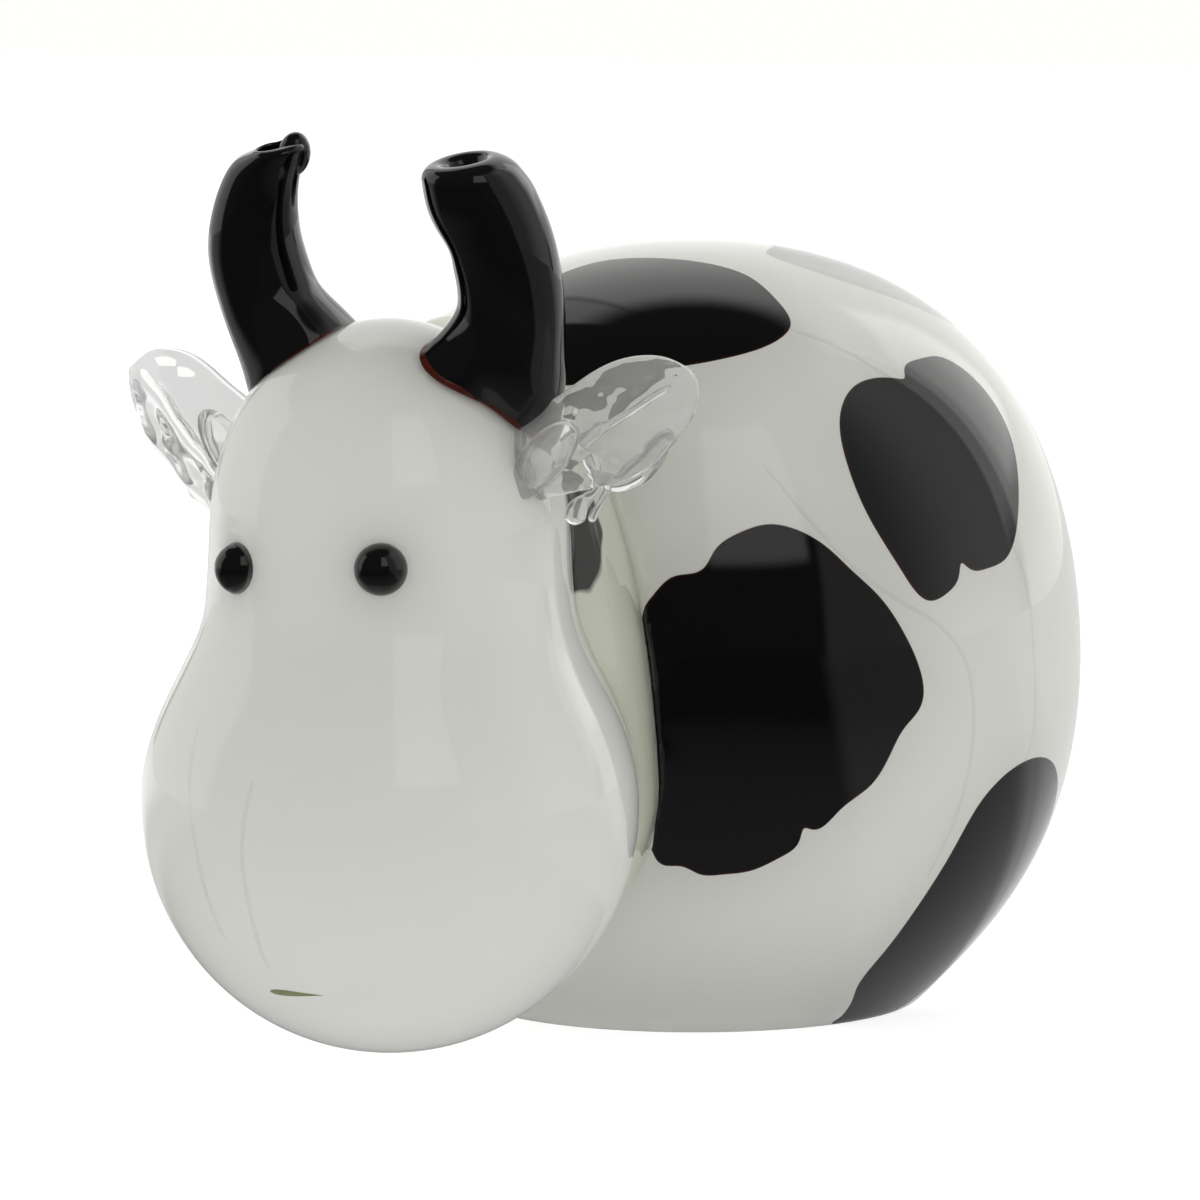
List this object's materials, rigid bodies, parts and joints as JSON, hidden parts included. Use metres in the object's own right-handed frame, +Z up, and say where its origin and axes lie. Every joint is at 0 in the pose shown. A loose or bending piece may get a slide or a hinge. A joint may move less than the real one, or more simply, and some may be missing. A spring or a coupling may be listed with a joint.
{
  "type": "cow figurine",
  "caption": "Hand-blown glass cow ornament with a round cased body, a pear-shaped head, black horns and clear leaf ears, standing on a flat ground sole.",
  "frame": {"origin": "the middle of the flat ground sole that the figurine stands on", "axes": "+Z up; the cow faces -Y; its own left side is +X"},
  "size_m": [0.09, 0.1387, 0.1017],
  "materials": {
    "clear_casing": "fire-polished clear casing glass",
    "white_opal": "opaque white opal glass, glossy",
    "inner_glass": "clear inner gather of the bubble",
    "black_glass": "opaque black glass, fire-polished",
    "red_brown_glass": "thin black glass that lets dark red-brown light through",
    "neck_glass": "thick clear glass with a pale green cast",
    "ear_glass": "clear tooled glass, wavy",
    "olive_glass": "small olive stain under the casing"
  },
  "bodies": {
    "root": {"body_casing": "clear_casing", "body_opal": "white_opal", "body_core": "inner_glass", "patch_back": "black_glass", "patch_left_upper": "black_glass", "patch_left_flank": "black_glass", "patch_left_lower": "black_glass", "patch_rump_top": "black_glass", "patch_rump": "black_glass", "patch_right_upper": "black_glass", "patch_right_flank": "black_glass", "patch_right_lower": "black_glass", "head_casing": "clear_casing", "head_opal": "white_opal", "head_core": "inner_glass", "mouth_mark": "olive_glass", "neck_lens": "neck_glass", "horn_left": "black_glass", "horn_right": "black_glass", "horn_left_fringe": "red_brown_glass", "horn_right_fringe": "red_brown_glass", "ear_left": "ear_glass", "ear_right": "ear_glass", "eye_left": "black_glass", "eye_right": "black_glass"}
  },
  "joints": []
}
